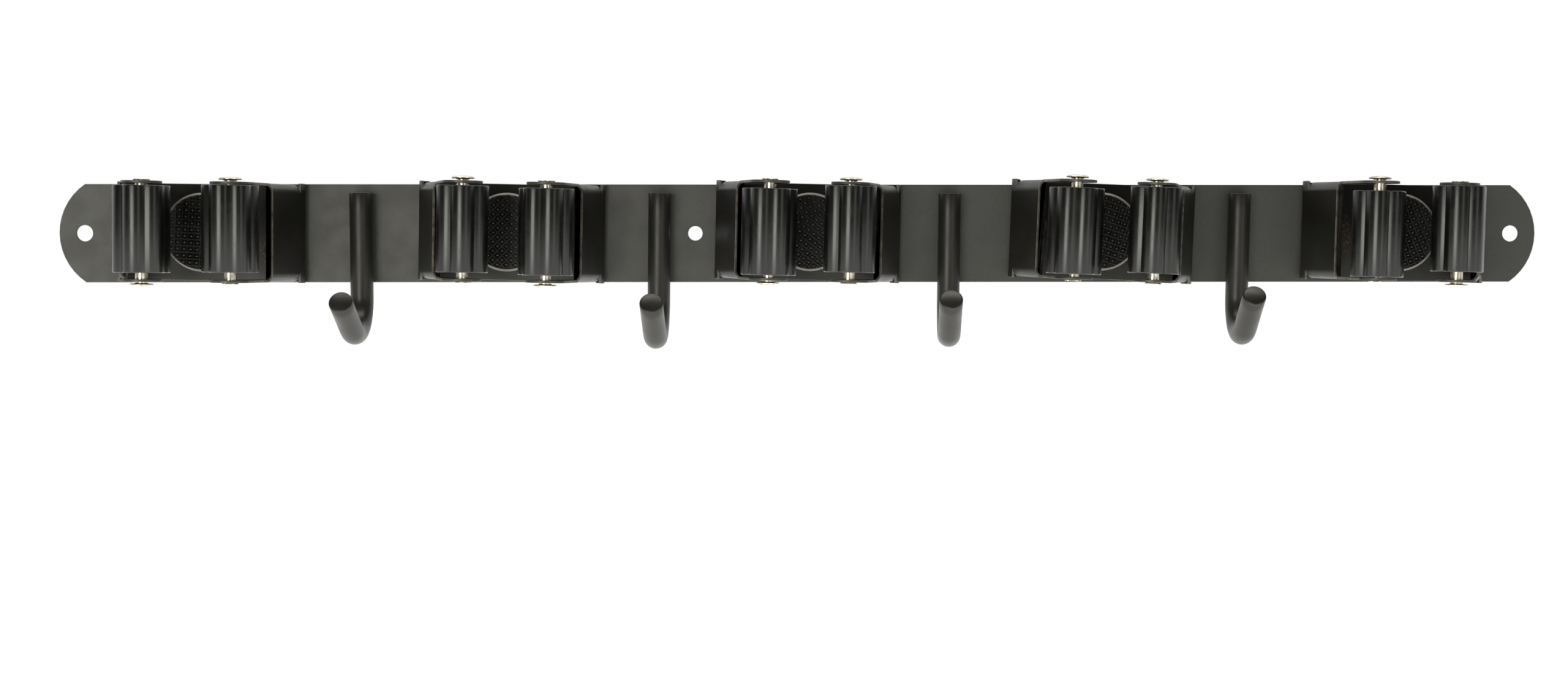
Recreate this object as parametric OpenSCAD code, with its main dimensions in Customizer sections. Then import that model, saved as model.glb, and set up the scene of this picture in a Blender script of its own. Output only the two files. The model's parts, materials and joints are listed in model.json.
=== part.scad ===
// Garden tool rack for a wall: a sheet steel strip that carries sprung clips for
// tool handles, with round rod hooks between them. Sizes are in millimetres.
// X runs along the strip, -Y is the front and Z is up. The origin is the centre
// of the strip's back face, so the wall is the plane y = 0.

/* [Strip] */
// Length of the strip along the wall
strip_l = 500; // [470:5:600]
// Height of the strip
strip_h = 33; // [32:0.5:38]
// Thickness of the strip's sheet
strip_t = 1; // [0.8:0.1:2.5]
// Radius of the arcs that end the strip
strip_end_r = 20; // [19.5:0.5:30]
// Diameter of the mounting hole at each end
end_hole_d = 5.5; // [4:0.1:6.5]
// Distance of an end hole from the end of the strip
end_hole_inset = 8.4; // [7.4:0.2:9.4]
// Diameter of the middle mounting hole
middle_hole_d = 4.9; // [4:0.1:6.5]
// Distance of the middle hole from the middle of the strip, to the left
middle_hole_offset = 36.8; // [34:0.2:39]

/* [Clips] */
// Number of clips, evenly spread along the strip
clip_count = 5; // [3:1:5]
// Height of a clip, across the strip
clip_h = 32.4; // [32:0.2:36]
// Width of a clip over its two root bends
clip_w = 62.4; // [60:0.2:64]
// Thickness of the clip's spring sheet
clip_t = 0.8; // [0.6:0.1:1]
// Outer radius of the bend between the clip's base and an arm
root_bend_r = 3; // [2:0.25:4]
// How far an arm's web leans inward
web_lean = 21; // [18:0.5:23]
// Length of an arm's web from the root bend to its front edge
web_l = 18.6; // [14:0.2:20]
// Outer radius of the bend between a web and its ears
web_corner_r = 3; // [2:0.25:4]
// Plain length of the web before its ears begin
ear_gap = 2.2; // [1:0.2:4]
// How far the plain root stands out beyond the clip's height, at each side
root_flare = 0.4; // [0:0.1:0.8]
// Radius of the ear's narrow end at the root
ear_root_r = 2; // [1:0.1:3]
// Radius of the ear's round end, about the pin
ear_end_r = 6.4; // [5.5:0.1:7]

/* [Rollers and pins] */
// Spacing of a clip's two pins, as a part of the clip's width
pin_spread = 0.426; // [0.4:0.002:0.44]
// Distance of the pins from the wall
pin_reach = 34.4; // [33:0.2:36]
// Diameter of a pin
pin_d = 4; // [3:0.1:4.4]
// Diameter of a pin's domed head
pin_head_d = 7.4; // [6:0.1:8]
// Height of a pin's domed head
pin_head_h = 1.2; // [0.8:0.1:1.6]
// Diameter of a pin's splayed tail
pin_tail_d = 6; // [5.4:0.1:7]
// Height of a pin's splayed tail
pin_tail_h = 0.9; // [0.6:0.1:1.2]
// Diameter of the blind hole in a pin's tail
pin_tail_hole_d = 2.6; // [2:0.1:2.8]
// Depth of the blind hole in a pin's tail
pin_tail_hole_depth = 4; // [2:0.5:6]
// Number of splits in a pin's tail
pin_tail_splits = 6; // [4:1:8]
// Width of a split in a pin's tail
pin_tail_split_w = 0.5; // [0.3:0.1:0.8]
// Play between an ear and the pin's head or tail
pin_end_play = 0.4; // [0.2:0.05:0.8]
// Play all round a pin, in the ears and in its roller
pin_play = 0.05; // [0.03:0.01:0.1]
// Room at each end of a roller that stands midway between its ears
roller_end_play = 1.4; // [1.3:0.1:3]
// Diameter over a roller's lobes
roller_d = 18; // [16:0.25:18.5]
// Number of lobes round a roller
roller_lobes = 6; // [5:1:8]
// Radius of one lobe
roller_lobe_r = 4.5; // [4:0.1:5]

/* [Pads] */
// Diameter of a pad
pad_d = 26.4; // [22:0.2:28]
// Thickness of a pad
pad_t = 4; // [2:0.25:6]
// Bevel round a pad's rim
pad_bevel = 1.2; // [0.5:0.1:1.8]

/* [Hooks] */
// Diameter of a hook's rod
hook_d = 7.6; // [6:0.2:9]
// How far a hook's top end lies below the strip's top edge
hook_top_gap = 3; // [1:0.25:6]
// Bend radius at the middle of a hook's rod
hook_bend_r = 12; // [10:0.25:14]
// Length of a hook's straight tip
hook_tip_l = 18.8; // [12:0.2:26]
// Chamfer round the end of a hook's tip
hook_chamfer = 0.6; // [0.3:0.1:1.2]

/* [Hand fitting, left to right] */
// How far right of its even place each clip is welded
clip_shift = [1.5, 1.8, 1.3, 0.9, 0.2];
// How far above the strip's middle each clip is welded
clip_lift = [0.3, 0.35, 0.5, 0.6, 0.4];
// How far each clip is turned, its top to the right
clip_turn = [0.7, 1.2, 1.4, 2.3, 1.4];
// How far each arm stands open, in degrees, left and right of each clip
arm_open = [[1.9, 1.2], [-2, 2.8], [-1, 0.2], [-0.8, -0.2], [-0.7, 0]];
// How far right of its clip's middle each pad is stuck
pad_shift = [-2.7, -1.6, 0.7, -0.3, 1.9];
// How far each pad is turned, against the clock
pad_turn = [-3, 45, 54, -16, 24];
// How far each roller stands above the middle of its pin, left and right of each clip
roller_slide = [[0.7, 1.1], [0.6, 0.2], [-0.5, 1], [-0.5, 0.7], [-1.1, 1.2]];
// How far each roller has turned, left and right of each clip
roller_turn = [[24, 13], [38, 53], [3, 30], [55, 18], [10, 9]];
// Which pins have their head at the top, left and right of each clip
head_up = [[false, true], [true, false], [false, true], [true, true], [true, false]];
// How far right of its even place each hook is welded
hook_shift = [1.5, 1.3, -1, -2.7];
// How far each hook reaches below the strip
hook_drop = [20.4, 21.9, 21.4, 20.8];
// How far each hook's tip rises above the level
hook_rise = [30, 33, 34.5, 36];
// How far each hook leans, its top to the right
hook_lean = [-0.2, 0.7, 0.7, 1.3];
// How far each hook is turned, its tip to the right
hook_twist = [-0.6, -0.7, -2.3, -1.6];

/* [Hidden] */
$fn = 48;
sides = ["left", "right"];
hook_count = clip_count - 1;
hooks = [for (i = [1 : hook_count]) str("hook_", i)];
clips = [for (i = [1 : clip_count]) str("clip_", i)];
pads = [for (i = [1 : clip_count]) str("pad_", i)];
pins = [for (i = [1 : clip_count], side = sides) str(side, "_pin_", i)];
rollers = [for (i = [1 : clip_count], side = sides) str(side, "_roller_", i)];

// Room that a cut runs past the faces it goes through
cut = 1;
// Overlap that makes a straight stretch one piece with the bend that it leaves
lap = 0.2;
// Step in radius where a hook's tip leaves its bend, too small to see
seam_step = 0.01;
pitch = strip_l / clip_count;
pin_spacing = clip_w * pin_spread;
roller_l = clip_h - 2 * clip_t - 2 * roller_end_play;

// Each arm is drawn about the centre of its root bend, with its web straight
// ahead along -Y. The web's outer face is root_bend_r to the right of the centre.
bend_x = clip_w / 2 - root_bend_r;
bend_y = -strip_t - root_bend_r;
corner_x = root_bend_r - web_corner_r;
web_core_h = clip_h - 2 * web_corner_r;

// The pin's place, seen from the arm's own axes. An arm that stands open takes it along.
pin_in_arm = turned([pin_spacing / 2 - bend_x, -pin_reach - bend_y], web_lean);

steel_grey = [0.27, 0.27, 0.26];
spring_black = [0.2, 0.2, 0.19];
nickel = [0.75, 0.72, 0.66];
rubber = [0.13, 0.14, 0.15];

function turned(p, angle) = [
    p.x * cos(angle) - p.y * sin(angle),
    p.x * sin(angle) + p.y * cos(angle)
];
function even_place(i, count) = (i - (count - 1) / 2) * pitch;
function fitted(list, i) = list[i % len(list)];
function arm_lean(i, side) = web_lean - fitted(arm_open, i)[side];
function pin_place(i, side) = [bend_x, bend_y] + turned(pin_in_arm, -arm_lean(i, side));

// Moves its children to a clip's place on the strip
module at_clip(i) {
    translate([even_place(i, clip_count) + fitted(clip_shift, i), 0, fitted(clip_lift, i)])
        rotate([0, fitted(clip_turn, i), 0])
            children();
}

// Moves its children to the middle of a clip's left (0) or right (1) pin
module at_pin(i, side) {
    place = pin_place(i, side);
    at_clip(i)
        translate([(2 * side - 1) * place.x, place.y, 0])
            children();
}

module mounting_hole(x, d) {
    translate([x, cut, 0])
        rotate([90, 0, 0])
            cylinder(d = d, h = strip_t + 2 * cut);
}

module strip_outline() {
    straight_l = strip_l - 2 * strip_end_r;
    intersection() {
        square([strip_l, strip_h], center = true);
        union() {
            square([straight_l, strip_h], center = true);
            for (end = [-1, 1])
                translate([end * straight_l / 2, 0])
                    circle(r = strip_end_r, $fn = 96);
        }
    }
}

module back_plate() {
    color(steel_grey)
        difference() {
            rotate([90, 0, 0])
                linear_extrude(strip_t)
                    strip_outline();
            for (end = [-1, 1])
                mounting_hole(end * (strip_l / 2 - end_hole_inset), end_hole_d);
            mounting_hole(-middle_hole_offset, middle_hole_d);
        }
}

// The outline of a bar whose right side is rounded over at its top and bottom
module rounded_side(r) {
    translate([corner_x, -web_core_h / 2])
        square([r, web_core_h]);
    for (end = [-1, 1])
        translate([corner_x, end * web_core_h / 2])
            circle(r = r);
}

// The web with the two bends that lead into its ears, seen along the arm
module web_section() {
    intersection() {
        difference() {
            rounded_side(web_corner_r);
            rounded_side(web_corner_r - clip_t);
        }
        translate([corner_x, -clip_h / 2])
            square([web_corner_r, clip_h]);
    }
}

// A leaf with a narrow round end at the root and a wide one about the pin
module ear_outline() {
    root = [corner_x - ear_root_r, -ear_gap - ear_root_r];
    reach = pin_in_arm - root;
    toward = atan2(reach.y, reach.x);
    spread = acos((ear_root_r - ear_end_r) / norm(reach));
    difference() {
        union() {
            translate(root)
                circle(r = ear_root_r);
            translate(pin_in_arm)
                circle(r = ear_end_r);
            polygon([
                root + ear_root_r * [cos(toward - spread), sin(toward - spread)],
                pin_in_arm + ear_end_r * [cos(toward - spread), sin(toward - spread)],
                pin_in_arm + ear_end_r * [cos(toward + spread), sin(toward + spread)],
                root + ear_root_r * [cos(toward + spread), sin(toward + spread)]
            ]);
        }
        translate([corner_x, -web_l])
            square([web_corner_r, web_l]);
        translate(pin_in_arm)
            circle(d = pin_d + 2 * pin_play);
    }
}

// One sprung arm: root bend, web and two ears
module arm(lean) {
    root_h = clip_h + 2 * root_flare;
    translate([bend_x, bend_y, 0])
        rotate([0, 0, -lean]) {
            rotate_extrude(angle = 90 + lean)
                translate([root_bend_r - clip_t, -root_h / 2])
                    square([clip_t, root_h]);
            translate([root_bend_r - clip_t, -ear_gap, -root_h / 2])
                cube([clip_t, ear_gap, root_h]);
            translate([0, -ear_gap, 0])
                rotate([90, 0, 0])
                    linear_extrude(web_l - ear_gap)
                        web_section();
            for (z = [-clip_h / 2, clip_h / 2 - clip_t])
                translate([0, 0, z])
                    linear_extrude(clip_t)
                        ear_outline();
        }
}

// A clip, folded from one piece of spring sheet
module clip(i) {
    color(spring_black)
        at_clip(i) {
            translate([-bend_x - lap, -strip_t - clip_t, -clip_h / 2])
                cube([2 * (bend_x + lap), clip_t, clip_h]);
            arm(arm_lean(i, 1));
            mirror([1, 0, 0])
                arm(arm_lean(i, 0));
        }
}

module pad(i) {
    color(rubber)
        at_clip(i)
            translate([fitted(pad_shift, i), -strip_t - clip_t, 0])
                rotate([90, -fitted(pad_turn, i), 0])
                    rotate_extrude($fn = 96)
                        polygon([
                            [0, 0],
                            [pad_d / 2, 0],
                            [pad_d / 2, pad_t - pad_bevel],
                            [pad_d / 2 - pad_bevel, pad_t],
                            [0, pad_t]
                        ]);
}

// A rivet that stands on its tail: domed head up, hollow tail splayed below
module rivet() {
    shank_l = clip_h + 2 * pin_end_play;
    dome_r = (pow(pin_head_d / 2, 2) + pow(pin_head_h, 2)) / (2 * pin_head_h);
    cylinder(d = pin_d, h = shank_l, center = true);
    translate([0, 0, shank_l / 2])
        intersection() {
            translate([0, 0, pin_head_h - dome_r])
                sphere(r = dome_r, $fn = 96);
            cylinder(d = pin_head_d, h = pin_head_h);
        }
    mirror([0, 0, 1])
        translate([0, 0, shank_l / 2])
            difference() {
                cylinder(d1 = pin_d, d2 = pin_tail_d, h = pin_tail_h);
                for (split = [0 : pin_tail_splits - 1])
                    rotate([0, 0, split * 360 / pin_tail_splits])
                        translate([0, -pin_tail_split_w / 2, 0])
                            cube([pin_tail_d, pin_tail_split_w, pin_tail_h + cut]);
            }
}

module pin(i, side) {
    rise = fitted(head_up, i)[side] ? 0 : 180;
    hole_top = clip_h / 2 + pin_end_play + pin_tail_h - pin_tail_hole_depth;
    color(nickel)
        at_pin(i, side)
            rotate([rise, 0, 0])
                difference() {
                    rivet();
                    mirror([0, 0, 1])
                        translate([0, 0, hole_top])
                            cylinder(d = pin_tail_hole_d, h = pin_tail_hole_depth + cut);
                }
}

module roller_section() {
    difference() {
        for (lobe = [0 : roller_lobes - 1])
            rotate((lobe + 0.5) * 360 / roller_lobes)
                translate([roller_d / 2 - roller_lobe_r, 0])
                    circle(r = roller_lobe_r);
        circle(d = pin_d + 2 * pin_play);
    }
}

module roller(i, side) {
    color(rubber)
        at_pin(i, side)
            translate([0, 0, fitted(roller_slide, i)[side]])
                rotate([0, 0, fitted(roller_turn, i)[side] - 90])
                    linear_extrude(roller_l, center = true)
                        roller_section();
}

// A hook is drawn in its own plane: X is the distance from the stem's middle
// and Y is up, with the centre of the bend at [hook_bend_r, 0].
module hook(i) {
    lowest = -strip_h / 2 - fitted(hook_drop, i);
    bend_z = lowest + hook_d / 2 + hook_bend_r;
    stem_l = strip_h / 2 - hook_top_gap - bend_z;
    turn = 90 + fitted(hook_rise, i);
    color(steel_grey)
        translate([even_place(i, hook_count) + fitted(hook_shift, i), -strip_t - hook_d / 2, 0])
            rotate([0, fitted(hook_lean, i), 0])
                translate([0, 0, bend_z])
                    rotate([0, 0, fitted(hook_twist, i)])
                        rotate([90, 0, -90]) {
                            rotate([-90, 0, 0])
                                cylinder(d = hook_d, h = stem_l);
                            translate([hook_bend_r, 0, 0])
                                rotate([0, 0, 180]) {
                                    rotate_extrude(angle = turn)
                                        translate([hook_bend_r, 0])
                                            circle(d = hook_d);
                                    rotate([0, 0, turn])
                                        translate([hook_bend_r, 0, 0])
                                            rotate([-90, 0, 0])
                                                hook_tip();
                                }
                        }
}

module hook_tip() {
    plain_l = hook_tip_l - hook_chamfer;
    tip_d = hook_d - 2 * seam_step;
    translate([0, 0, -lap])
        cylinder(d = tip_d, h = plain_l + lap);
    translate([0, 0, plain_l])
        cylinder(d1 = tip_d, d2 = tip_d - 2 * hook_chamfer, h = hook_chamfer);
}

back_plate();
for (i = [0 : hook_count - 1])
    hook(i);
for (i = [0 : clip_count - 1]) {
    clip(i);
    pad(i);
    for (side = [0, 1]) {
        pin(i, side);
        roller(i, side);
    }
}
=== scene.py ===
"""Garden tool rack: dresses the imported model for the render."""
import json
import math
import random

import bmesh
import bpy
from mathutils import Matrix, Vector
from mathutils.bvhtree import BVHTree


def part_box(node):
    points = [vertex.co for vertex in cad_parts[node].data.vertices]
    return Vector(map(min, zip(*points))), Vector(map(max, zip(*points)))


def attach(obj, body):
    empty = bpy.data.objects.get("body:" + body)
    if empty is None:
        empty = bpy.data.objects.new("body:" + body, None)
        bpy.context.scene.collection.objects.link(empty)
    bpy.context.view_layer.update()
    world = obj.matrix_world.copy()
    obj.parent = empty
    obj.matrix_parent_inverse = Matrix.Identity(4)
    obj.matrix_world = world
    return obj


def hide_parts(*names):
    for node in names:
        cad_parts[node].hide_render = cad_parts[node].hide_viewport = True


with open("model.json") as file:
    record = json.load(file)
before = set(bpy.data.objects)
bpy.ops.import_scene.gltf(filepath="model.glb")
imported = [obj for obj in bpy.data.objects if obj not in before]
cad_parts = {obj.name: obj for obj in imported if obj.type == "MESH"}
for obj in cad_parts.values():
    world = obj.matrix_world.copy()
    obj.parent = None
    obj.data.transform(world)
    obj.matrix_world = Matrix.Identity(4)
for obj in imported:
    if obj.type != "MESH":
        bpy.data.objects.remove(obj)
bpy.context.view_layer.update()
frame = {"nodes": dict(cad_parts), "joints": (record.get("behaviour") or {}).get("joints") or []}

MM = 0.001
MERGE = 1e-6  # metres: corners nearer than this are one corner
POINT_R = 1e-4  # millimetres: the radius of a ring that ends in a point
RACK = "rack"
CLIPS = range(1, 6)
HOOKS = range(1, 5)
SIDES = ("left", "right")

# Sizes in millimetres, as in the solids that the pieces below stand for. Two differ:
# the lobes are slimmer here than there, and only the scene has the pads' studs.
STRIP_H, STRIP_T = 33.0, 1.0
HOOK_D, HOOK_BEND_R, HOOK_TIP_L, HOOK_TOP_GAP = 7.6, 12.0, 18.8, 3.0
HOOK_X = (-148.5, -48.7, 49.0, 147.3)
HOOK_DROP = (20.4, 21.9, 21.4, 20.8)
HOOK_RISE = (30.0, 33.0, 34.5, 36.0)
HOOK_LEAN = (-0.2, 0.7, 0.7, 1.3)
HOOK_TWIST = (-0.6, -0.7, -2.3, -1.6)
CLIP_H = 32.4
PIN_D, PIN_PLAY, PIN_END_PLAY = 4.0, 0.05, 0.4
PIN_HEAD_D, PIN_HEAD_H, PIN_TAIL_D = 7.4, 1.2, 6.0
HEAD_UP = ((False, True), (True, False), (False, True), (True, True), (True, False))
ROLLER_D, ROLLER_L, ROLLER_LOBES, LOBE_R = 18.0, 28.0, 6, 4.1
ROLLER_TURN = ((24, 13), (38, 53), (3, 30), (55, 18), (10, 9))
PAD_D, PAD_T, PAD_BEVEL = 26.4, 4.0, 0.6
PAD_TURN = (-3.0, 45.0, 54.0, -16.0, 24.0)
STUD_PITCH = 2.17
STUD_PHASE = ((0.31, 0.33), (0.5, 0.5), (0.2, 0.4), (0.1, 0.3), (0.0, 0.2))

# Camera at the photograph's viewing angle: 750 mm in front of the strip, turned a
# little to the right, so the strip's left end is the larger. Its image is 2560
# pixels wide. FACED_PX is where a line from the camera at right angles to the wall
# shows, and AXIS_X_PX is where the camera's own axis shows.
IMAGE_W, IMAGE_H = 2560, 1120
FACED_PX = (1295.0, 400.0)
CAMERA_PLACE = (-3.7, -750.0, -3.95)
CAMERA_TURN = math.radians(1.63)
FOCAL_PX = 3601.0
AXIS_X_PX = FACED_PX[0] + FOCAL_PX * math.tan(CAMERA_TURN)
CAMERA_DIP = math.atan((IMAGE_H / 2 - FACED_PX[1]) / FOCAL_PX)


def make_camera():
    data = bpy.data.cameras.new("camera")
    data.sensor_width = 36.0
    data.lens = data.sensor_width * FOCAL_PX / IMAGE_W
    data.shift_x = (IMAGE_W / 2 - AXIS_X_PX) / IMAGE_W
    data.clip_start = 0.05
    camera = bpy.data.objects.new("camera", data)
    camera.location = Vector(CAMERA_PLACE) * MM
    camera.rotation_euler = (math.pi / 2 - CAMERA_DIP, 0, -CAMERA_TURN)
    bpy.context.scene.collection.objects.link(camera)
    bpy.context.scene.camera = camera


make_camera()
bpy.context.scene.view_settings.view_transform = "Standard"


# Materials

def map_range(nodes, low, high, to_low, to_high):
    """A smooth Map Range node."""
    node = nodes.new("ShaderNodeMapRange")
    node.interpolation_type = "SMOOTHSTEP"
    for name, number in (("From Min", low), ("From Max", high), ("To Min", to_low), ("To Max", to_high)):
        node.inputs[name].default_value = number
    return node


class Nodes:
    """A material's node tree, with short calls for what the materials share."""

    def __init__(self, name):
        self.material = bpy.data.materials.new(name)
        self.material.use_nodes = True
        self.tree = self.material.node_tree
        self.shader = self.tree.nodes["Principled BSDF"]
        self.place = self.add("ShaderNodeTexCoord").outputs["Object"]

    def add(self, kind, **settings):
        node = self.tree.nodes.new(kind)
        for key, value in settings.items():
            setattr(node, key, value)
        return node

    def link(self, source, target):
        self.tree.links.new(source, target)

    def set(self, **values):
        for key, value in values.items():
            self.shader.inputs[key.replace("_", " ")].default_value = value

    def stretched(self, scale):
        node = self.add("ShaderNodeMapping")
        node.inputs["Scale"].default_value = scale
        self.link(self.place, node.inputs["Vector"])
        return node.outputs["Vector"]

    def noise(self, scale, detail=3.0, stretch=None):
        node = self.add("ShaderNodeTexNoise")
        node.inputs["Scale"].default_value = scale
        node.inputs["Detail"].default_value = detail
        self.link(self.stretched(stretch) if stretch else self.place, node.inputs["Vector"])
        return node.outputs["Fac"]

    def remap(self, value, low, high, to_low=0.0, to_high=1.0):
        node = map_range(self.tree.nodes, low, high, to_low, to_high)
        self.link(value, node.inputs["Value"])
        return node.outputs["Result"]

    def math(self, operation, a, b):
        node = self.add("ShaderNodeMath", operation=operation)
        for socket, value in zip(node.inputs, (a, b)):
            if isinstance(value, (int, float)):
                socket.default_value = value
            else:
                self.link(value, socket)
        return node.outputs["Value"]

    def mix(self, factor, a, b):
        node = self.add("ShaderNodeMix", data_type="RGBA")
        self.link(factor, node.inputs["Factor"])
        for socket, value in ((node.inputs[6], a), (node.inputs[7], b)):
            if isinstance(value, tuple):
                socket.default_value = (*value, 1.0)
            else:
                self.link(value, socket)
        return node.outputs[2]

    def specks(self, scale, size, share):
        """1 on small round specks, which a share of the cells has."""
        node = self.add("ShaderNodeTexVoronoi")
        node.inputs["Scale"].default_value = scale
        self.link(self.place, node.inputs["Vector"])
        chosen = self.math("LESS_THAN", node.outputs["Color"], share)
        near = self.remap(node.outputs["Distance"], size * 0.6, size, 1.0, 0.0)
        return self.math("MULTIPLY", chosen, near)

    def bump(self, height, strength, distance):
        node = self.add("ShaderNodeBump")
        node.inputs["Strength"].default_value = strength
        node.inputs["Distance"].default_value = distance
        self.link(height, node.inputs["Height"])
        self.link(node.outputs["Normal"], self.shader.inputs["Normal"])


WEAR_AND_HIGHLIGHT_LAYER = "wear_and_highlight"  # the mesh colour that says where an edge is worn and painted with a highlight, and where a pad's rim is painted with a highlight

# Rubbed spots on the clips' bases: middle across and up, half width and half height, in millimetres.
SCUFFS = (
    (-181.2, -6.5, 2.4, 6.0),
    (-21.8, -6.0, 1.2, 7.0),
    (25.0, 0.0, 1.2, 10.0),
    (81.4, 2.7, 2.0, 3.0),
    (184.5, -0.5, 2.0, 7.5),
)

# Colours, as linear red, green and blue. A finish has two, which its noise mixes.
STRIP_TONES = (0.0255, 0.0257, 0.0228), (0.0365, 0.0368, 0.0328)
HOOK_TONES = (0.0095, 0.0095, 0.0087), (0.014, 0.014, 0.0129)
CLIP_TONES = (0.0045, 0.0043, 0.0036), (0.0085, 0.0082, 0.0068)
ROLLER_TONES = (0.003, 0.003, 0.0028), (0.0055, 0.0055, 0.0052)
PAD_TONES = (0.006, 0.006, 0.0055), (0.0105, 0.0105, 0.0095)
NICKEL_TONES = (0.74, 0.69, 0.58), (0.42, 0.36, 0.26)

# Colours of what lies on the finishes and of the spots where they are worn. The pads' rim tone is a painted
# highlight, and the clips' edge tone is wear and a painted highlight.
PAINT_DUST = (0.45, 0.44, 0.4)
ROLLER_DUST = (0.3, 0.3, 0.28)
PAD_DUST = (0.25, 0.24, 0.22)
PAD_RIM_HIGHLIGHT_TONE = (0.16, 0.15, 0.13)
RUBBED_TONE = (0.05, 0.034, 0.024)
BARE_AND_LIT_EDGE_TONE = (0.22, 0.2, 0.165)

# Tints of the shine.
PAINT_TINT = (1.0, 0.99, 0.94, 1.0)
HOOK_TINT = (1.0, 0.97, 0.88, 1.0)
ROLLER_TINT = (0.98, 1.0, 0.96, 1.0)
PAD_TINT = (1.0, 0.98, 0.92, 1.0)

PAINT_IOR, HOOK_IOR = 1.55, 1.42

# The clips' specular level, which paints light and shade on them: lower at the top as painted shade, higher
# below, and highest at the bends to the ears as a painted highlight.
CLIP_SHINE_LOW, CLIP_SHINE_HIGH, CORNER_PAINTED_HIGHLIGHT = 0.38, 0.12, 0.7


def painted(name, tones, roughness, dust, ior=PAINT_IOR, tint=PAINT_TINT):
    """Satin paint on steel: a fine mottle, orange peel and dust."""
    n = Nodes(name)
    n.set(IOR=ior, Specular_Tint=tint)
    mottle = n.remap(n.noise(900.0, 4.0), 0.32, 0.7)
    cloud = n.remap(n.noise(38.0, 2.0), 0.3, 0.7)
    tone = n.math("MULTIPLY", n.math("ADD", mottle, cloud), 0.5)
    paint = n.mix(tone, *tones)
    speck = n.specks(260.0, 0.045, dust)
    fine = n.specks(520.0, 0.05, dust)
    colour = n.mix(n.math("MAXIMUM", speck, fine), paint, PAINT_DUST)
    n.link(colour, n.shader.inputs["Base Color"])
    n.link(n.remap(n.noise(120.0, 3.0), 0.3, 0.7, *roughness), n.shader.inputs["Roughness"])
    n.bump(n.noise(1500.0, 2.0), 0.18, 0.00004)
    return n


def strip_paint():
    return painted("strip_paint", STRIP_TONES, (0.48, 0.56), 0.05).material


def hook_paint():
    return painted("hook_paint", HOOK_TONES, (0.34, 0.42), 0.03, HOOK_IOR, HOOK_TINT).material


def clip_paint():
    """The clips' darker paint, rubbed brown in a few spots, paler at the sheared edges as wear and as a
    painted highlight, with painted shade at the top and a painted highlight at the bends to the ears.
    """
    n = painted("clip_paint", CLIP_TONES, (0.42, 0.52), 0.04)
    split = n.add("ShaderNodeSeparateXYZ")
    n.link(n.place, split.inputs[0])
    # Painted shade: the specular level falls towards the top of the clip.
    painted_shade_by_height = n.remap(split.outputs["Z"], -0.013, 0.008, CLIP_SHINE_LOW, CLIP_SHINE_HIGH)
    height = n.math("ABSOLUTE", split.outputs["Z"], 0.0)
    # Painted highlight: more specular level at the bends to the ears.
    off_base = n.remap(split.outputs["Y"], -0.005, -0.003, 1.0, 0.0)
    corner = n.math("MULTIPLY", off_base, n.remap(height, 0.0138, 0.015, 0.0, CORNER_PAINTED_HIGHLIGHT))
    n.link(n.math("MAXIMUM", painted_shade_by_height, corner), n.shader.inputs["Specular IOR Level"])
    spots = None
    for x, z, half_w, half_h in SCUFFS:
        squares = []
        for axis, middle, half in (("X", x, half_w), ("Z", z, half_h)):
            off = n.math("DIVIDE", n.math("SUBTRACT", split.outputs[axis], middle * MM), half * MM)
            squares.append(n.math("POWER", n.math("ABSOLUTE", off, 0.0), 2.0))
        away = n.math("ADD", *squares)
        near = n.remap(away, 0.2, 1.3, 1.0, 0.0)
        spots = near if spots is None else n.math("MAXIMUM", spots, near)
    worn = n.math("MULTIPLY", spots, n.remap(n.noise(1100.0, 5.0), 0.45, 0.62))
    base = n.shader.inputs["Base Color"].links[0].from_socket
    rubbed = n.mix(worn, base, RUBBED_TONE)
    # The sheared edges are painted pale: partly bare, worn steel and partly a painted highlight where their
    # rounding catches light.
    edge = n.add("ShaderNodeVertexColor", layer_name=WEAR_AND_HIGHLIGHT_LAYER).outputs["Color"]
    patchy = n.math("MULTIPLY", edge, n.remap(n.noise(420.0, 4.0), 0.3, 0.6, 0.35, 1.0))
    n.link(n.mix(patchy, rubbed, BARE_AND_LIT_EDGE_TONE), n.shader.inputs["Base Color"])
    return n.material


def roller_rubber():
    """Black rubber with faint streaks along the roller, blotches and specks of dust."""
    n = Nodes("roller_rubber")
    n.set(Specular_IOR_Level=0.55, Specular_Tint=ROLLER_TINT)
    streak = n.remap(n.noise(700.0, 4.0, (1.0, 1.0, 0.04)), 0.3, 0.7)
    blotch = n.remap(n.noise(160.0, 4.0), 0.35, 0.75)
    tone = n.math("MULTIPLY", n.math("ADD", streak, blotch), 0.5)
    rubber = n.mix(tone, *ROLLER_TONES)
    dust = n.math("MAXIMUM", n.specks(330.0, 0.06, 0.07), n.specks(700.0, 0.07, 0.06))
    n.link(n.mix(dust, rubber, ROLLER_DUST), n.shader.inputs["Base Color"])
    n.link(n.remap(blotch, 0.0, 1.0, 0.24, 0.29), n.shader.inputs["Roughness"])
    n.bump(n.math("ADD", streak, n.noise(2400.0, 2.0)), 0.12, 0.00003)
    return n.material


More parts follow.
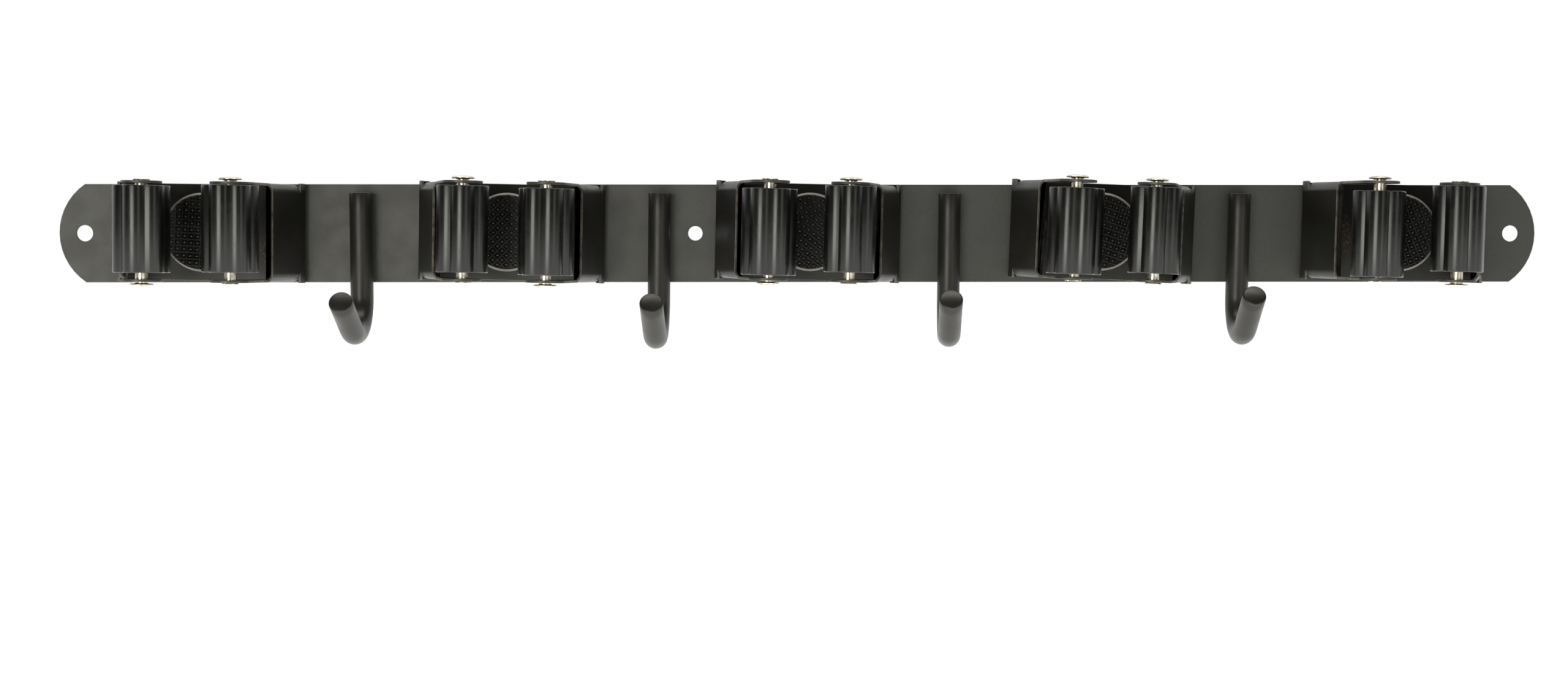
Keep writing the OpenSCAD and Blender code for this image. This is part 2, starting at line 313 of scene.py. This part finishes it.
def pad_rubber():
    """Black rubber, painted pale along its rim as a highlight, with a raised specular level there."""
    n = Nodes("pad_rubber")
    n.set(Specular_Tint=PAD_TINT)
    blotch = n.remap(n.noise(240.0, 4.0), 0.35, 0.75)
    rubber = n.mix(blotch, *PAD_TONES)
    dust = n.specks(600.0, 0.09, 0.1)
    rim = n.add("ShaderNodeVertexColor", layer_name=WEAR_AND_HIGHLIGHT_LAYER).outputs["Color"]
    # Painted highlight: the rim is painted pale and given more specular level, where light catches its bevel.
    worn = n.math("MULTIPLY", rim, n.remap(n.noise(300.0, 3.0), 0.3, 0.6, 0.6, 1.0))
    dusty = n.mix(dust, rubber, PAD_DUST)
    n.link(n.mix(worn, dusty, PAD_RIM_HIGHLIGHT_TONE), n.shader.inputs["Base Color"])
    n.link(n.remap(rim, 0.0, 1.0, 0.3, 0.6), n.shader.inputs["Specular IOR Level"])
    n.link(n.remap(blotch, 0.0, 1.0, 0.26, 0.4), n.shader.inputs["Roughness"])
    n.bump(n.noise(3000.0, 2.0), 0.2, 0.00003)
    return n.material


def pin_nickel():
    """Nickel plating, dull and brownish where it is worn."""
    n = Nodes("pin_nickel")
    n.set(Metallic=1.0)
    wear = n.remap(n.noise(500.0, 4.0), 0.35, 0.7)
    n.link(n.mix(wear, *NICKEL_TONES), n.shader.inputs["Base Color"])
    n.link(n.remap(wear, 0.0, 1.0, 0.16, 0.34), n.shader.inputs["Roughness"])
    n.bump(n.noise(1800.0, 3.0), 0.15, 0.00004)
    return n.material


MATERIALS = {
    make.__name__: make()
    for make in (strip_paint, hook_paint, clip_paint, roller_rubber, pad_rubber, pin_nickel)
}


# Mesh helpers

def piece(name, mesh, slot, body, *stands_for, sharp=35.0):
    """Makes a mesh a piece of the object, with its finish, its body and its node."""
    mesh.polygons.foreach_set("use_smooth", [True] * len(mesh.polygons))
    mesh.set_sharp_from_angle(angle=math.radians(sharp))
    mesh.materials.append(MATERIALS[slot])
    obj = bpy.data.objects.new(name, mesh)
    bpy.context.scene.collection.objects.link(obj)
    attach(obj, body)
    if stands_for:
        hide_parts(*stands_for)
    return obj


def add_rings(bm, rings, loop=False):
    """Joins rings of equal count with quads. The ends are closed, or loop joins the last to the first."""
    made = [[bm.verts.new(p) for p in ring] for ring in rings]
    pairs = list(zip(made, made[1:]))
    if loop:
        pairs.append((made[-1], made[0]))
    for a, b in pairs:
        for k in range(len(a)):
            following = (k + 1) % len(a)
            bm.faces.new((a[k], a[following], b[following], b[k]))
    if not loop:
        bm.faces.new(made[0])
        bm.faces.new(made[-1])


SHEARED_WEAR_AND_HIGHLIGHT = 0.5


def mark_wear_and_highlight(bm, worn_faces, sheared=None):
    """Stores on each face's corners how worn it is and how much painted highlight it gets, which the
    materials read.
    """
    layer = bm.loops.layers.float_color.new(WEAR_AND_HIGHLIGHT_LAYER)
    for face in bm.faces:
        level = 1.0 if face in worn_faces else SHEARED_WEAR_AND_HIGHLIGHT * face[sheared] if sheared else 0.0
        for corner in face.loops:
            corner[layer] = (level, level, level, 1.0)


def in_order(bm):
    """Sorts corners, edges and faces by place. The easing leaves them in another order on each run."""
    sorted_verts = sorted(bm.verts, key=lambda v: v.co[:])
    sorted_edges = sorted(bm.edges, key=lambda e: sorted(v.co[:] for v in e.verts))
    sorted_faces = sorted(bm.faces, key=lambda f: sorted(v.co[:] for v in f.verts))
    for items, by_place in ((bm.verts, sorted_verts), (bm.edges, sorted_edges), (bm.faces, sorted_faces)):
        rank = {item: k for k, item in enumerate(by_place)}
        items.sort(key=rank.get)


def finished(bm, name):
    """The mesh, with the corners of pointed ends merged and its faces turned outward."""
    bmesh.ops.remove_doubles(bm, verts=bm.verts, dist=MERGE)
    bmesh.ops.dissolve_degenerate(bm, dist=MERGE, edges=bm.edges)
    bmesh.ops.recalc_face_normals(bm, faces=bm.faces)
    in_order(bm)
    mesh = bpy.data.meshes.new(name)
    bm.to_mesh(mesh)
    bm.free()
    return mesh


def ring_mesh(name, rings, loop=False):
    bm = bmesh.new()
    add_rings(bm, rings, loop)
    return finished(bm, name)


def circle(radius, count, start=0.0):
    angles = (start + 2 * math.pi / count * k for k in range(count))
    return [Vector((radius * math.cos(a), radius * math.sin(a))) for a in angles]


# Where things are, read from the frame

JOINTS = {j["child"]: j for j in frame["joints"]}


def pin_axis(side, clip):
    """A point on a pin's axis, level with the clip's middle, and the axis."""
    joint = JOINTS[f"{side}_roller_{clip}"]
    return Vector(joint["pos_m"]), Vector(joint["axis"]).normalized()


def upright(origin, axis):
    """The frame at origin whose Z is axis and whose Y stays level with the row's."""
    y = Vector((0, 1, 0))
    x = y.cross(axis).normalized()
    return Matrix.Translation(origin) @ Matrix((x, y, axis)).transposed().to_4x4()


# Sheet metal

# Edges sharper than the fold, in degrees, are eased by so many millimetres.
STRIP_FOLD, STRIP_EASE = 60.0, 0.12
CLIP_FOLD, CLIP_EASE = 35.0, 0.1
FLAT_ANGLE = math.radians(0.5)
# A cut face is narrow, and sharp edges make up most of its outline.
CUT_W = 1.4
CUT_SHARE = 0.6
EASE_STEPS = 3
# Where eased edges run together a corner can stray from the solid. One that is further away than this many
# times the easing goes back to the solid's surface.
STRAY = 1.2


def sheet(name, node, slot, sharp_fold, ease):
    """A piece of bent sheet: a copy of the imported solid, with its sheared edges eased."""
    bm = bmesh.new()
    bm.from_mesh(frame["nodes"][node].data)
    bmesh.ops.remove_doubles(bm, verts=bm.verts, dist=MERGE)
    bmesh.ops.dissolve_limit(bm, angle_limit=FLAT_ANGLE, verts=bm.verts, edges=bm.edges)
    solid = BVHTree.FromBMesh(bm)
    fold = math.radians(sharp_fold)
    folds = [e for e in bm.edges if len(e.link_faces) == 2 and e.calc_face_angle(0.0) > fold]
    is_fold = set(folds)
    sheared = bm.faces.layers.int.new("sheared")
    for face in bm.faces:
        sides = sum(e.calc_length() for e in face.edges if e in is_fold)
        longest = max(e.calc_length() for e in face.edges)
        narrow = face.calc_area() < longest * CUT_W * MM
        face[sheared] = int(narrow and sides > CUT_SHARE * face.calc_perimeter())
    eased = bmesh.ops.bevel(
        bm, geom=folds, offset=ease * MM, segments=EASE_STEPS, affect="EDGES", clamp_overlap=False
    )["faces"]
    for vert in bm.verts:
        near, _, _, away = solid.find_nearest(vert.co)
        if away > ease * MM * STRAY:
            vert.co = near
    mark_wear_and_highlight(bm, set(eased), sheared)
    made = piece(name, finished(bm, name), slot, RACK, node)
    made.modifiers.new("flats", "WEIGHTED_NORMAL").keep_sharp = True


def strip():
    sheet("strip", "back_plate", "strip_paint", STRIP_FOLD, STRIP_EASE)


# Hooks

STEM_STEPS, BEND_STEPS, TIP_STEPS, ROD_SIDES = 6, 28, 4, 40
TOP_EDGE, TIP_EDGE = 0.25, 0.6


def hook(number):
    """One rod, swept along its stem, bend and tip."""
    rows = (HOOK_X, HOOK_DROP, HOOK_RISE, HOOK_LEAN, HOOK_TWIST)
    x, drop, rise, lean, twist = (row[number - 1] for row in rows)
    r = HOOK_D / 2
    bend_z = -STRIP_H / 2 - drop + r + HOOK_BEND_R
    top_z = STRIP_H / 2 - HOOK_TOP_GAP
    stem = top_z - bend_z
    path = [(Vector((0, top_z - k * stem / STEM_STEPS)), Vector((0, -1))) for k in range(STEM_STEPS)]
    for k in range(BEND_STEPS + 1):
        a = math.radians((90 + rise) * k / BEND_STEPS)
        path.append((
            Vector((HOOK_BEND_R * (1 - math.cos(a)), bend_z - HOOK_BEND_R * math.sin(a))),
            Vector((math.sin(a), -math.cos(a))),
        ))
    last, ahead = path[-1]
    path += [(last + ahead * HOOK_TIP_L * k / TIP_STEPS, ahead) for k in range(1, TIP_STEPS + 1)]
    turn = Matrix.Rotation(math.radians(lean), 4, "Y") @ Matrix.Rotation(math.radians(twist), 4, "Z")
    base = Vector((x, -STRIP_T - r, 0))

    def ring(at, along, radius):
        across = Vector((-along.y, along.x))
        points = []
        for p in circle(radius, ROD_SIDES):
            out = at + across * p.y
            points.append((base + turn @ Vector((p.x, -out.x, out.y))) * MM)
        return points

    top, down = path[0]
    end, out = path[-1]
    rings = [
        ring(top, down, POINT_R),
        ring(top, down, r - TOP_EDGE),
        ring(top + down * TOP_EDGE * 0.3, down, r - TOP_EDGE * 0.3),
        ring(top + down * TOP_EDGE, down, r),
    ]
    rings += [ring(at, along, r) for at, along in path[1:-1]]
    rings += [
        ring(end - out * TIP_EDGE, out, r),
        ring(end - out * TIP_EDGE * 0.35, out, r - TIP_EDGE * 0.35),
        ring(end, out, r - TIP_EDGE),
        ring(end, out, POINT_R),
    ]
    piece(f"rod_{number}", ring_mesh(f"rod_{number}", rings), "hook_paint", RACK, f"hook_{number}")


# Clips

def clip(number):
    sheet(f"spring_{number}", f"clip_{number}", "clip_paint", CLIP_FOLD, CLIP_EASE)


# Rollers

LOBE_SIDES = 20
ROLLER_SIDES = LOBE_SIDES * ROLLER_LOBES
CREASE_EASE = 0.1
ROLLER_EDGE, ROLLER_EDGE_STEPS, BORE_EDGE = 0.35, 4, 0.3


def lobed_ring(inset, turn):
    """The roller's section, drawn in by inset, with its creases eased."""
    centre_r = ROLLER_D / 2 - LOBE_R
    r = LOBE_R - inset
    lobe_step = 2 * math.pi / ROLLER_LOBES
    points = []
    for k in range(ROLLER_SIDES):
        a = 2 * math.pi * k / ROLLER_SIDES
        reach = []
        for lobe in range(ROLLER_LOBES):
            off = (a - (lobe + 0.5) * lobe_step + math.pi) % (2 * math.pi) - math.pi
            if abs(off) < lobe_step:
                inside = max(0.0, r * r - (centre_r * math.sin(off)) ** 2)
                reach.append(centre_r * math.cos(off) + math.sqrt(inside))
        radius = CREASE_EASE * math.log(sum(math.exp(v / CREASE_EASE) for v in reach))
        points.append(Vector((radius * math.cos(a + turn), radius * math.sin(a + turn))))
    return points


def roller(side, number):
    """A rubber sleeve with six lobes, rounded ends and a bore."""
    node = f"{side}_roller_{number}"
    origin, axis = pin_axis(side, number)
    low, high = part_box(node)
    middle = (low + high) / 2
    slide = (middle - origin).dot(axis)
    turn = math.radians(ROLLER_TURN[number - 1][SIDES.index(side)] - 90)
    place = upright(origin + axis * slide, axis)
    half = ROLLER_L / 2
    bore = PIN_D / 2 + PIN_PLAY
    hole = circle(bore, ROLLER_SIDES, turn)
    mouth = circle(bore + BORE_EDGE, ROLLER_SIDES, turn)

    def at(points, z):
        return [place @ (Vector((p.x, p.y, z)) * MM) for p in points]

    corner = []
    for k in range(ROLLER_EDGE_STEPS + 1):
        a = math.pi / 2 * k / ROLLER_EDGE_STEPS
        corner.append((ROLLER_EDGE * (1 - math.sin(a)), ROLLER_EDGE * (1 - math.cos(a))))
    rings = [at(hole, -half + BORE_EDGE), at(mouth, -half)]
    rings += [at(lobed_ring(inset, turn), -half + rise) for inset, rise in corner]
    rings += [at(lobed_ring(inset, turn), half - drop) for drop, inset in corner]
    rings += [at(mouth, half), at(hole, half - BORE_EDGE)]
    mesh = ring_mesh(f"sleeve_{side}_{number}", rings, loop=True)
    piece(f"sleeve_{side}_{number}", mesh, "roller_rubber", node, node, sharp=40.0)


# Pins

PIN_SIDES, DOME_STEPS, PETALS = 48, 8, 6
PETAL_SHARE = (0.55, 1.0)
# The head stands off the ear: how far its underside and its widest part do.
HEAD_UNDER, HEAD_SHOULDER = 0.25, 0.68
# The tail, from the ear's face: height, radius beyond the shank's, share of the petals' spread, lift.
TAIL = (
    (-0.05, 0.05, 0.4, 0.0),
    (-0.18, 0.1, 0.85, 0.0),
    (-0.34, 0.1, 1.0, -0.1),
    (-0.48, 0.02, 0.9, -0.12),
    (-0.44, -0.15, 0.5, -0.05),
    (-0.1, -0.5, 0.0, 0.0),
    (2.0, -0.7, 0.0, 0.0),
)
TAIL_BORE_END = 2.4


def pin(side, number):
    """A semi-tubular rivet: domed head, shank, and a tail splayed into uneven petals."""
    node = f"{side}_pin_{number}"
    origin, axis = pin_axis(side, number)
    up = HEAD_UP[number - 1][SIDES.index(side)]
    place = upright(origin, axis)
    if not up:
        place = place @ Matrix.Rotation(math.pi, 4, "X")
    rng = random.Random(node)
    phase = rng.uniform(0, 2 * math.pi)
    lengths = [rng.uniform(*PETAL_SHARE) for _ in range(PETALS)]

    def ring(z, radius, spread=0.0, lift=0.0):
        points = []
        for k in range(PIN_SIDES):
            a = 2 * math.pi * k / PIN_SIDES
            part = (a + phase) / (2 * math.pi) * PETALS % PETALS
            petal = abs(math.sin(math.pi * (part % 1))) ** 0.35 * lengths[int(part)]
            r = radius + spread * petal
            points.append(place @ (Vector((r * math.cos(a), r * math.sin(a), z + lift * petal)) * MM))
        return points

    head_r, shank_r, tail_r = PIN_HEAD_D / 2, PIN_D / 2, PIN_TAIL_D / 2
    seat = CLIP_H / 2 + PIN_END_PLAY
    top, under, shoulder = seat + PIN_HEAD_H, seat + HEAD_UNDER, seat + HEAD_SHOULDER
    rings = [ring(top, POINT_R)]
    for k in range(1, DOME_STEPS + 1):
        a = math.pi / 2 * k / DOME_STEPS
        rings.append(ring(shoulder + (top - shoulder) * math.cos(a), (head_r - 0.12) * math.sin(a)))
    rings += [
        ring(shoulder - 0.1, head_r - 0.03),
        ring((shoulder + under) / 2, head_r),
        ring(under + 0.1, head_r - 0.05),
        ring(under, head_r - 0.18),
        ring(under - 0.05, shank_r + 0.25),
        ring(under - 0.25, shank_r),
    ]
    ear = -CLIP_H / 2
    rings += [ring(z, shank_r) for z in (seat * 0.5, 0.0, -seat * 0.5, ear)]
    spread = tail_r - shank_r - 0.1
    rings += [ring(ear + z, shank_r + wider, spread * share, lift) for z, wider, share, lift in TAIL]
    rings.append(ring(ear + TAIL_BORE_END, POINT_R))
    name = f"rivet_{side}_{number}"
    piece(name, ring_mesh(name, rings), "pin_nickel", RACK, node, sharp=50.0)


# Pads

PAD_SIDES, STUD_SIDES = 96, 14
PAD_RIM_FROM = 12.3
FIELD_GAP, FIELD_DEPTH = 0.15, 0.55
FOOT = 0.05  # how far the studs and bars go into the floor between them
BAR_HALF_W, BAR_LOWER, BAR_STAGGER = 0.4, 0.06, 0.02
STUD_CLEAR, BAR_CLEAR = 0.5, 0.3


def pad(number):
    """A rubber disc with a bevelled rim and a lattice of bars; a round stud stands in each square pit."""
    node = f"pad_{number}"
    low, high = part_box(node)
    middle = (low + high) / 2
    _, axis = pin_axis("left", number)
    lean = math.atan2(axis.x, axis.z)
    turn = math.radians(PAD_TURN[number - 1]) - lean
    back_y = high.y
    r = PAD_D / 2
    field_r = r - PAD_BEVEL - FIELD_GAP
    floor_h = PAD_T - FIELD_DEPTH
    bm = bmesh.new()

    def at(x, z, h):
        c, s = math.cos(turn), math.sin(turn)
        return Vector((middle.x + (x * c - z * s) * MM, back_y - h * MM, middle.z + (x * s + z * c) * MM))

    def disc_ring(radius, h):
        return [at(p.x, p.y, h) for p in circle(radius, PAD_SIDES)]

    add_rings(bm, [
        disc_ring(POINT_R, 0.0),
        disc_ring(r - 0.1, 0.0),
        disc_ring(r, 0.1),
        disc_ring(r, PAD_T - PAD_BEVEL - 0.15),
        disc_ring(r - 0.04, PAD_T - PAD_BEVEL),
        disc_ring(r - PAD_BEVEL + 0.1, PAD_T - 0.06),
        disc_ring(r - PAD_BEVEL, PAD_T),
        disc_ring(field_r, PAD_T - 0.02),
        disc_ring(field_r - 0.15, floor_h),
        disc_ring(POINT_R, floor_h),
    ])
    centre = Vector((middle.x, middle.z))
    rim_y = back_y - (PAD_T - PAD_BEVEL - 0.1) * MM
    # The rim's faces, which the material paints pale as a highlight.
    rim = set()
    for face in bm.faces:
        spot = face.calc_center_median()
        if spot.y < rim_y and (spot.xz - centre).length > PAD_RIM_FROM * MM:
            rim.add(face)
    lines = int(r / STUD_PITCH) + 1
    phase_x, phase_z = STUD_PHASE[number - 1]
    stud = (
        (0.56, floor_h - FOOT),
        (0.55, floor_h + 0.15),
        (0.5, floor_h + 0.32),
        (0.36, PAD_T - 0.1),
        (0.18, PAD_T - 0.03),
        (POINT_R, PAD_T),
    )
    for i in range(-lines, lines + 1):
        for k in range(-lines, lines + 1):
            x, z = (i + phase_x) * STUD_PITCH, (k + phase_z) * STUD_PITCH
            if math.hypot(x, z) > field_r - STUD_CLEAR:
                continue
            section = [(circle(radius, STUD_SIDES), h) for radius, h in stud]
            add_rings(bm, [[at(x + p.x, z + p.y, h) for p in points] for points, h in section])
    for i in range(-lines, lines + 2):
        for across in (0, 1):
            off = (i - 0.5 + (phase_x, phase_z)[across]) * STUD_PITCH
            if abs(off) > field_r - BAR_CLEAR:
                continue
            reach = math.sqrt(field_r ** 2 - off ** 2)
            bar_h = PAD_T - BAR_LOWER - BAR_STAGGER * across
            half = ((1.0, floor_h - FOOT), (0.8, floor_h + 0.2), (0.5, bar_h - 0.04), (0.3, bar_h))
            section = [(off - BAR_HALF_W * share, h) for share, h in half]
            section += [(off + BAR_HALF_W * share, h) for share, h in reversed(half)]
            ends = [[(s, o, h) if across else (o, s, h) for o, h in section] for s in (-reach, reach)]
            add_rings(bm, [[at(*corner) for corner in end] for end in ends])
    mark_wear_and_highlight(bm, rim)
    piece(f"disc_{number}", finished(bm, f"disc_{number}"), "pad_rubber", RACK, node, sharp=30.0)


strip()
for number in HOOKS:
    hook(number)
for number in CLIPS:
    clip(number)
    pad(number)
    for side in SIDES:
        roller(side, number)
        pin(side, number)


# Studio

FLOOR_Z, FLOOR_HALF = -0.2, 6.0
FLOOR_TONE = (0.9, 0.9, 0.9, 1)
# The floor's glow for the camera: how strong it is near the rack, where it begins to rise, and where it is
# white, in metres from the middle.
FLOOR_GLOW, FLOOR_NEAR, FLOOR_FAR = 0.55, 0.35, 1.1


def make_floor():
    """Shows as white away from the rack and in reflections, and keeps the rack's shadow near it."""
    mesh = bpy.data.meshes.new("floor")
    signs = ((-1, -1), (1, -1), (1, 1), (-1, 1))
    mesh.from_pydata([(x * FLOOR_HALF, y * FLOOR_HALF, FLOOR_Z) for x, y in signs], [], [(0, 1, 2, 3)])
    floor = bpy.data.objects.new("floor", mesh)
    bpy.context.scene.collection.objects.link(floor)
    material = bpy.data.materials.new("floor")
    material.use_nodes = True
    nodes, links = material.node_tree.nodes, material.node_tree.links
    nodes.clear()
    diffuse = nodes.new("ShaderNodeBsdfDiffuse")
    diffuse.inputs["Color"].default_value = FLOOR_TONE
    glow = nodes.new("ShaderNodeEmission")
    path = nodes.new("ShaderNodeLightPath")
    place = nodes.new("ShaderNodeTexCoord")
    away = nodes.new("ShaderNodeVectorMath")
    away.operation = "LENGTH"
    links.new(place.outputs["Object"], away.inputs[0])
    far = map_range(nodes, FLOOR_NEAR, FLOOR_FAR, FLOOR_GLOW, 1.0)
    links.new(away.outputs["Value"], far.inputs["Value"])
    seen = nodes.new("ShaderNodeMath")
    seen.operation = "MULTIPLY"
    links.new(far.outputs["Result"], seen.inputs[0])
    links.new(path.outputs["Is Camera Ray"], seen.inputs[1])
    strength = nodes.new("ShaderNodeMath")
    strength.operation = "MAXIMUM"
    links.new(seen.outputs[0], strength.inputs[0])
    links.new(path.outputs["Is Glossy Ray"], strength.inputs[1])
    links.new(strength.outputs[0], glow.inputs["Strength"])
    both = nodes.new("ShaderNodeAddShader")
    links.new(diffuse.outputs[0], both.inputs[0])
    links.new(glow.outputs[0], both.inputs[1])
    out = nodes.new("ShaderNodeOutputMaterial")
    links.new(both.outputs[0], out.inputs["Surface"])
    mesh.materials.append(material)


WORLD_FILL = 0.24
# Reflections: how bright the room in front is, and where it turns white, as the direction's Y.
ROOM_SHADE, ROOM_FROM, ROOM_TO = 0.04, -0.25, 0.1


def make_world():
    """White to the camera. Reflections see white behind the rack and a dimmer room in front of it."""
    world = bpy.data.worlds.new("studio")
    bpy.context.scene.world = world
    world.use_nodes = True
    nodes, links = world.node_tree.nodes, world.node_tree.links
    nodes.clear()
    path = nodes.new("ShaderNodeLightPath")
    place = nodes.new("ShaderNodeTexCoord")
    split = nodes.new("ShaderNodeSeparateXYZ")
    links.new(place.outputs["Generated"], split.inputs[0])
    behind = map_range(nodes, ROOM_FROM, ROOM_TO, ROOM_SHADE, 1.0)
    links.new(split.outputs["Y"], behind.inputs["Value"])
    strength = WORLD_FILL
    rays = (("Is Glossy Ray", behind.outputs["Result"]), ("Is Camera Ray", 1.0), ("Is Transmission Ray", 1.0))
    for ray, value in rays:
        pick = nodes.new("ShaderNodeMix")
        links.new(path.outputs[ray], pick.inputs["Factor"])
        for socket, item in ((pick.inputs["A"], strength), (pick.inputs["B"], value)):
            if isinstance(item, float):
                socket.default_value = item
            else:
                links.new(item, socket)
        strength = pick.outputs["Result"]
    background = nodes.new("ShaderNodeBackground")
    background.inputs["Color"].default_value = (1, 1, 1, 1)
    links.new(strength, background.inputs["Strength"])
    out = nodes.new("ShaderNodeOutputWorld")
    links.new(background.outputs[0], out.inputs["Surface"])


LAMP_COLOUR = (1.0, 0.99, 0.93)


def lamp(name, place, size, power):
    """A soft panel that faces the middle of the rack."""
    data = bpy.data.lights.new(name, "AREA")
    data.shape = "RECTANGLE"
    data.size, data.size_y = size
    data.energy = power
    data.color = LAMP_COLOUR
    obj = bpy.data.objects.new(name, data)
    obj.location = place
    obj.rotation_euler = (-Vector(place)).to_track_quat("-Z", "Y").to_euler()
    bpy.context.scene.collection.objects.link(obj)
    return obj


make_floor()
make_world()
lamp("key_panel", (-0.55, -1.4, -0.1), (0.7, 0.9), 12.5)
lamp("right_panel", (1.0, -1.3, 0.2), (0.5, 0.9), 1.5)
lamp("top_panel", (0.0, -0.12, 1.2), (1.6, 0.3), 10.0)
lamp("low_panel", (0.0, -0.11, -0.19), (1.0, 0.12), 1.1).visible_camera = False
